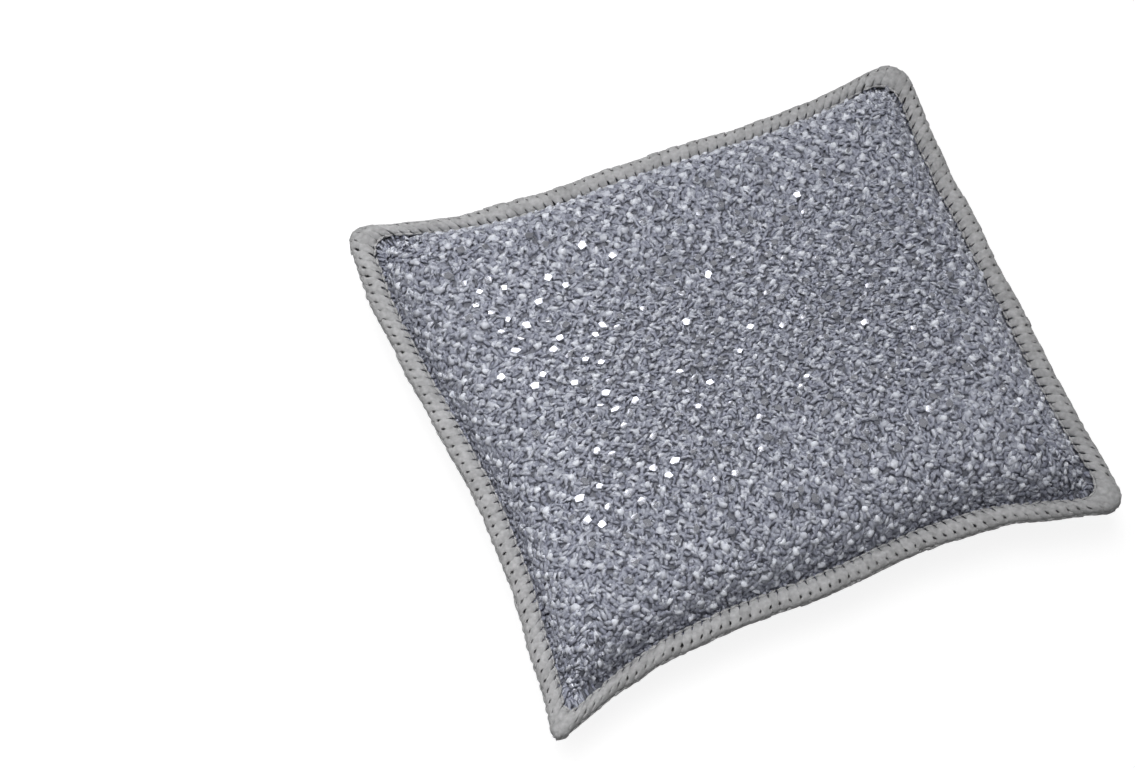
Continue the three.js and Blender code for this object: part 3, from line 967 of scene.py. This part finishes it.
class FilmStitches:
    """The film on one cover: strands laid to and fro, raised stitches on every other field, flat flecks."""

    def __init__(self, form, knit, edge, side, name):
        self.knit, self.side, self.name = knit, side, name
        self.fields = StitchFields(form, knit, edge, side)
        self.high = (self.fields.column + self.fields.row) % 2 == 0
        self.rng = np.random.default_rng(knit.seed + side)
        self.yarn = film_yarn_material(knit)
        self.pieces = []

    def lay(self, kind, shape, chosen, local, shift, tones, material, creased=False):
        """Lays a copy of a shape on each chosen field, shifted by shares of the field."""
        knit, fields = self.knit, self.fields
        pitch = np.array([knit.wale, knit.course, 0])
        places = fields.middle[chosen][:, None, :] + local @ np.swapaxes(fields.axes[chosen], 1, 2)
        places += (shift * pitch) @ np.swapaxes(fields.spread[chosen], 1, 2)
        if self.side == LOWER:
            # The sponge's weight presses the film flat on the floor
            places[:, :, 2] = np.maximum(places[:, :, 2], knit.film_thickness)
        piece = shape.lay(f"{self.name}_{kind}", places, tones)
        dress(piece, material, "knit", creased=creased)
        self.pieces.append(piece)

    def lay_strands(self):
        """Three lays of strands, each at a slant to the one below, drawn straight near the seam."""
        knit, fields, rng = self.knit, self.fields, self.rng
        shape, run, around = film_strand("film_strand", rings=3, sides=3)
        # The hidden lower cover makes do with one strand fewer to a stitch
        strands = knit.strands if self.side == UPPER else knit.strands - 1
        size = knit.strand_width, knit.strand_length, knit.strand_thickness
        slant = math.atan2(knit.wale, knit.course) * np.where(fields.row % 2, 1, -1)
        # Painted light on the high fields' strands, painted shade on the low fields' strands and near the
        # seam
        painted_light_and_shade = (1 - PULLED_PAINTED_SHADE * fields.pulled) * np.where(self.high, HIGH_PAINTED_LIGHT, LOW_PAINTED_SHADE)
        for kind, lift, lean, tones in LAYS:
            wanted = strands * fields.share * (1 - PULLED_STRANDS * fields.pulled)
            held = np.floor(wanted + rng.random(len(wanted))).astype(int)
            chosen = np.repeat(np.arange(len(wanted)), held)
            count = len(chosen)
            local = arched(knit, rng, count, run, around, size, lift * knit.strand_lift)
            level = np.zeros(count)
            loose = rng.normal(0, knit.yaw, count)
            drawn = rng.random(count) < fields.pulled[chosen]
            straight = fields.across[chosen] + loose * (1 - PULLED_YAW)
            yaw = np.where(drawn, straight, lean * slant[chosen] + loose)
            local = local @ np.swapaxes(turned(yaw, level, level), 1, 2)
            shift = rng.uniform(-0.5, 0.5, (count, 1, 3))
            tones_and_painted_shade = rng.uniform(*tones, count) * painted_light_and_shade[chosen]
            self.lay(kind, shape, chosen, local, shift, tones_and_painted_shade, self.yarn)

    def lay_raised(self):
        """Raised stitches on the high fields, and flat flecks on the tops of some that lie level."""
        knit, fields, rng = self.knit, self.fields, self.rng
        raised = np.flatnonzero(self.high & (fields.pulled < RAISED_PULL) & fields.clear)
        count = len(raised)
        shape, run, around = film_strand("raised_stitch", rings=4, sides=6)
        size = knit.raised_width, knit.raised_length, knit.raised_thickness
        local = arched(knit, rng, count, run, around, size, knit.raised_lift)
        pitch, roll = rng.normal(0, knit.tilt, (2, count))
        turn = np.swapaxes(turned(rng.normal(0, knit.yaw, count), pitch, roll), 1, 2)
        shift = rng.normal(0, RAISED_DRIFT, (count, 1, 3))
        # Raised stitches are lighter than the strands: painted light
        tones = rng.uniform(*RAISED_PAINTED_LIGHT_TONES, count)
        self.lay("raised_stitches", shape, raised, local @ turn, shift, tones, self.yarn)
        level = np.abs(fields.axes[raised][:, 2, 2]) > FLECK_LEVEL
        flecked = (rng.random(count) < knit.fleck_share) & level
        self.lay_flecks(raised[flecked], turn[flecked], shift[flecked])

    def lay_flecks(self, chosen, turn, shift):
        """Flat flecks of film on the tops of the chosen raised stitches."""
        knit, count = self.knit, len(chosen)
        shape = film_fleck(knit)
        size = knit.fleck_size / MM * self.rng.normal(1, FLECK_SPREAD, (count, 1, 2))
        local = shape.points[None] * np.dstack([size * (1, FLECK_SLIMNESS), np.ones((count, 1, 1))])
        local = local @ turn
        local[:, :, 2] += knit.raised_lift + knit.raised_thickness / 2
        mirror = flat_film_material(knit)
        self.lay("flat_flecks", shape, chosen, local, shift, np.ones(count), mirror, creased=True)


class SPONGE_OT_covers(bpy.types.Operator):
    """Lay the upper and lower ground cloth over the foam, and their film stitches on them"""

    bl_idname = "sponge.covers"
    bl_label = "Covers"

    def execute(self, context):
        form, knit, edge = context.scene.sponge_form, context.scene.sponge_knit, context.scene.sponge_edge
        for side, name, node in ((UPPER, "upper_cover", "top_cover"), (LOWER, "lower_cover", "bottom_cover")):
            cover, cut = add_cover(form, knit, side, name, node)
            film = FilmStitches(form, knit, edge, side, name)
            film.lay_strands()
            film.lay_raised()
        return {"FINISHED"}


# Overlocking

# A looper strand from the needle line out to the seam's edge: at each share of its run, its reach, its rise
# after it leaves the cloth, its width and its thickness, as shares of the most
STRAND_REACH = ((0, 0), (0.25, 0.2), (0.6, 0.62), (0.75, 0.8), (0.9, 0.95), (1, 1))
STRAND_RISE = ((0.16, 0.8), (0.4, 1), (0.6, 1), (0.75, 0.86), (0.9, 0.45), (1, 0))
STRAND_WIDTH = (
    (0, 0), (0.01, 0.5), (0.28, 0.56), (0.42, 1), (0.56, 1), (0.66, 0.5),
    (0.72, 0.44), (0.82, 0.85), (0.93, 0.8), (0.99, 0.6), (1, 0),
)
STRAND_GIRTH = ((0, 0), (0.01, 0.6), (0.2, 1), (0.99, 1), (1, 0))
# Share of the run at which a strand starts to turn over the edge
STRAND_TURN = 0.55
# How flat a strand's section is: 1 is round, less is squarer
STRAND_FLATNESS = 0.7
# How far the strands' width, lift and reach spread
WIDTH_SPREAD, LIFT_SPREAD, REACH_SPREAD = 0.05, 0.015, 0.02
# How blunt a dash of thread's ends are, and how far its thickness and its lie spread
DASH_TAPER = 0.6
DASH_SPREAD, DASH_SKEW = 0.1, 0.12
# Height of the needle thread's middle over the cloth, as a share of its thickness
NEEDLE_SEAT = 0.35


def follow(run, steps):
    """Values along a run, in straight lines between steps of run and value."""
    return np.interp(run, *np.transpose(steps))


def looper_strand(form, edge):
    """One bulked strand from the needle line out over the seam's edge, spread wide and narrow at its ends."""
    strand, run, around = thread_rings("looper_strand", rings=11)
    crown = edge.height - edge.strand_thickness / 2
    nose = edge.width - edge.strand_thickness / 2
    path_x = nose * follow(run, STRAND_REACH)
    path_z = follow(run, [(0, form.seam_allowance), *((at, rise * crown) for at, rise in STRAND_RISE)])
    flat = np.sign(around) * np.abs(around) ** STRAND_FLATNESS
    across = flat[:, 0] * follow(run, STRAND_WIDTH) * edge.strand_width / 2
    depth = flat[:, 1] * follow(run, STRAND_GIRTH) * edge.strand_thickness / 2
    steep = np.interp(run, (STRAND_TURN, 1), (0, math.pi / 2))
    out = path_x + depth * np.sin(steep)
    up = path_z + depth * np.cos(steep)
    move_vertices(strand, np.stack([out, across, up], 1))
    return outward(strand)


def thread_dash(form):
    """One dash of thread of unit thickness, a stitch long, that lies along the seam."""
    dash, run, around = thread_rings("thread_dash", rings=6)
    thick = np.sin(run * math.pi) ** DASH_TAPER * MM / 2
    along = (run - 0.5) * form.stitch_length
    move_vertices(dash, np.stack([around[:, 0] * thick, along, around[:, 1] * thick], 1))
    return outward(dash)


def along_seam(points):
    """Direction of the seam at each of its points."""
    way = np.roll(points, -1, 0) - np.roll(points, 1, 0)
    return way / np.linalg.norm(way, axis=1, keepdims=True)


def out_of_seam(ways):
    """Directions out of the seam, across the ways along it."""
    return np.stack([ways[:, 1], -ways[:, 0]], 1)


def unevenness(rng, count, reach):
    """Smooth random numbers round a closed line, about 1 in size, that change over a reach of points."""
    step = np.arange(count)
    bell = np.exp(-0.5 * (np.minimum(step, count - step) / reach) ** 2)
    smooth = np.fft.ifft(np.fft.fft(rng.normal(0, 1, count)) * np.fft.fft(bell)).real
    return smooth / smooth.std()


def lay_dashes(name, shape, points, ways, heights, thickness, rng):
    """Lays dashes of thread along the seam."""
    count = len(points)
    size = thickness / MM * rng.normal(1, DASH_SPREAD, (count, 1))
    skew = rng.normal(0, DASH_SKEW, (count, 1))
    x = (shape.points[:, 0] * size + shape.points[:, 1] * skew)[:, :, None]
    y = shape.points[None, :, 1:2]
    plan = points[:, None, :] + out_of_seam(ways)[:, None, :] * x + ways[:, None, :] * y
    z = heights[:, None] + shape.points[:, 2] * size
    return shape.lay(name, np.dstack([plan, z]), rng.random(count))


class SPONGE_OT_overlocking(bpy.types.Operator):
    """Wrap the seam's edge in bulked looper threads, with a purl along the edge and a needle thread inside"""

    bl_idname = "sponge.overlocking"
    bl_label = "Overlocking"

    def execute(self, context):
        form, edge = context.scene.sponge_form, context.scene.sponge_edge
        shift = seat(form)
        rng = np.random.default_rng(edge.seed)
        outer = seam_points(form, 0) + shift
        ways = along_seam(outer)
        wander = unevenness(rng, len(outer), edge.wander_reach / form.stitch_length)[:, None] * edge.wander
        drift = out_of_seam(ways) * wander
        outer = outer + drift
        # The needle line wanders half as far as the edge
        inner = seam_points(form, edge.width) + shift + drift / 2
        nose = seam_points(form, edge.purl_thickness / 2) + shift + drift
        material = thread_material(edge)
        strands = self.lay_strands(form, edge, inner[::2], outer[::2], ways[::2], rng)
        dress(strands, material, "thread", "overlock_edging")
        dash = thread_dash(form)
        middle = np.full(len(nose) // 2, form.seam_height)
        nose_ways = along_seam(nose)[1::2]
        purl = lay_dashes("purl_thread", dash, nose[1::2], nose_ways, middle, edge.purl_thickness, rng)
        dress(purl, material, "thread")
        inner_ways = along_seam(inner)[::2]
        for side, name in ((UPPER, "upper_needle_thread"), (LOWER, "lower_needle_thread")):
            height = middle + side * (form.seam_allowance + edge.needle_thickness * NEEDLE_SEAT)
            needle = lay_dashes(name, dash, inner[::2], inner_ways, height, edge.needle_thickness, rng)
            dress(needle, material, "thread")
        return {"FINISHED"}

    def lay_strands(self, form, edge, at_needle, at_edge, ways, rng):
        """One looper strand to each stitch, over the seam and under it."""
        shape = looper_strand(form, edge)
        count = len(at_needle)
        run = at_edge - at_needle
        places = []
        for side in (UPPER, LOWER):
            size = rng.normal(1, WIDTH_SPREAD, (count, 1))
            lift = rng.normal(1, LIFT_SPREAD, (count, 1))
            x = shape.points[:, 0] / edge.width * rng.normal(1, REACH_SPREAD, (count, 1))
            y = shape.points[:, 1] * size * side
            z = shape.points[:, 2] * lift * side
            plan = at_needle[:, None, :] + run[:, None, :] * x[:, :, None] - ways[:, None, :] * y[:, :, None]
            places.append(np.dstack([plan, form.seam_height + z]))
        places = np.concatenate(places)
        return shape.lay("overlock_thread", places, rng.random(len(places)))


# Stage

def facing(place, aim):
    """Turn of a camera or lamp that looks from a place at an aim."""
    return (Vector(aim) - Vector(place)).to_track_quat("-Z", "Y").to_euler()


class SPONGE_OT_stage(bpy.types.Operator):
    """Set the floor, the lights and the camera"""

    bl_idname = "sponge.stage"
    bl_label = "Stage"

    def execute(self, context):
        stage = context.scene.sponge_stage
        clear_selection()
        bpy.ops.mesh.primitive_plane_add(size=stage.floor_size, location=(0, 0, CAD_BOX[0].z))
        floor = fresh_object("floor")
        floor.data.materials.append(floor_material())
        self.set_camera(context, stage)
        self.set_room(context, stage)
        soft_box = self.add_lamp(
            "soft box", stage.soft_box_place, stage.soft_box_aim,
            size=stage.soft_box_size, power=stage.soft_box_power, spread=stage.soft_box_spread)
        # The flat film mirrors only the spark lamp, so that its flashes stay in one region
        soft_box.visible_glossy = False
        self.add_lamp(
            "spark", stage.spark_place, aim=(0, 0, 0),
            size=stage.spark_size, power=stage.spark_power, spread=math.pi)
        context.scene.view_settings.view_transform = "Standard"
        return {"FINISHED"}

    def set_camera(self, context, stage):
        """A camera at its angles and distance from the sponge's middle."""
        e, a = stage.elevation, stage.azimuth
        middle = Vector((0, 0, context.scene.sponge_form.seam_height))
        back = Vector((math.sin(a) * math.cos(e), -math.cos(a) * math.cos(e), math.sin(e)))
        place = middle + back * stage.distance
        bpy.ops.object.camera_add(location=place)
        camera = bpy.context.object
        camera.name = "camera"
        camera.rotation_euler = facing(place, stage.aim)
        camera.data.sensor_width = 36
        camera.data.lens = stage.lens
        camera.data.clip_start = 0.01
        context.scene.camera = camera

    def set_room(self, context, stage):
        """A plain room that is brightest overhead and darker towards the floor."""
        world = bpy.data.worlds.new("studio")
        world.use_nodes = True
        tree = world.node_tree
        way = add_node(tree, "ShaderNodeTexCoord")["Generated"]
        height = add_node(
            tree, "ShaderNodeVectorMath", {"operation": "DOT_PRODUCT"},
            Vector=way, Vector_001=Vector(stage.room_way).normalized())["Value"]
        level = add_node(
            tree, "ShaderNodeMapRange", Value=height, From_Min=-0.2, From_Max=1,
            To_Min=stage.room_dark, To_Max=stage.room_bright)["Result"]
        room = tree.nodes["Background"].inputs
        room["Color"].default_value = (1, 1, 1, 1)
        tree.links.new(level, room["Strength"])
        context.scene.world = world

    def add_lamp(self, name, place, aim, size, power, spread):
        """A round lamp that faces its aim."""
        bpy.ops.object.light_add(type="AREA", location=place)
        lamp = bpy.context.object
        lamp.name = name
        lamp.rotation_euler = facing(place, aim)
        lamp.data.shape = "DISK"
        lamp.data.size = size
        lamp.data.energy = power
        lamp.data.spread = spread
        return lamp


# Panel and registration

OPERATORS = (
    SPONGE_OT_foam_pad,
    SPONGE_OT_covers,
    SPONGE_OT_overlocking,
    SPONGE_OT_stage,
)


class SPONGE_PT_panel(bpy.types.Panel):
    """Settings and makers of the sponge's pieces"""

    bl_idname = "SPONGE_PT_panel"
    bl_label = "Scrub Sponge"
    bl_space_type = "VIEW_3D"
    bl_region_type = "UI"
    bl_category = "Sponge"

    def draw(self, context):
        for maker in OPERATORS:
            self.layout.operator(maker.bl_idname)
        for name, group in SETTINGS:
            box = self.layout.box()
            for key in group.__annotations__:
                box.prop(getattr(context.scene, name), key)


def register():
    for name, group in SETTINGS:
        bpy.utils.register_class(group)
        setattr(bpy.types.Scene, name, PointerProperty(type=group))
    for item in (*OPERATORS, SPONGE_PT_panel):
        bpy.utils.register_class(item)


def unregister():
    for item in reversed((*OPERATORS, SPONGE_PT_panel)):
        bpy.utils.unregister_class(item)
    for name, group in reversed(SETTINGS):
        delattr(bpy.types.Scene, name)
        bpy.utils.unregister_class(group)


def main():
    register()
    bpy.ops.sponge.foam_pad()
    bpy.ops.sponge.covers()
    bpy.ops.sponge.overlocking()
    bpy.ops.sponge.stage()


if __name__ == "__main__":
    main()
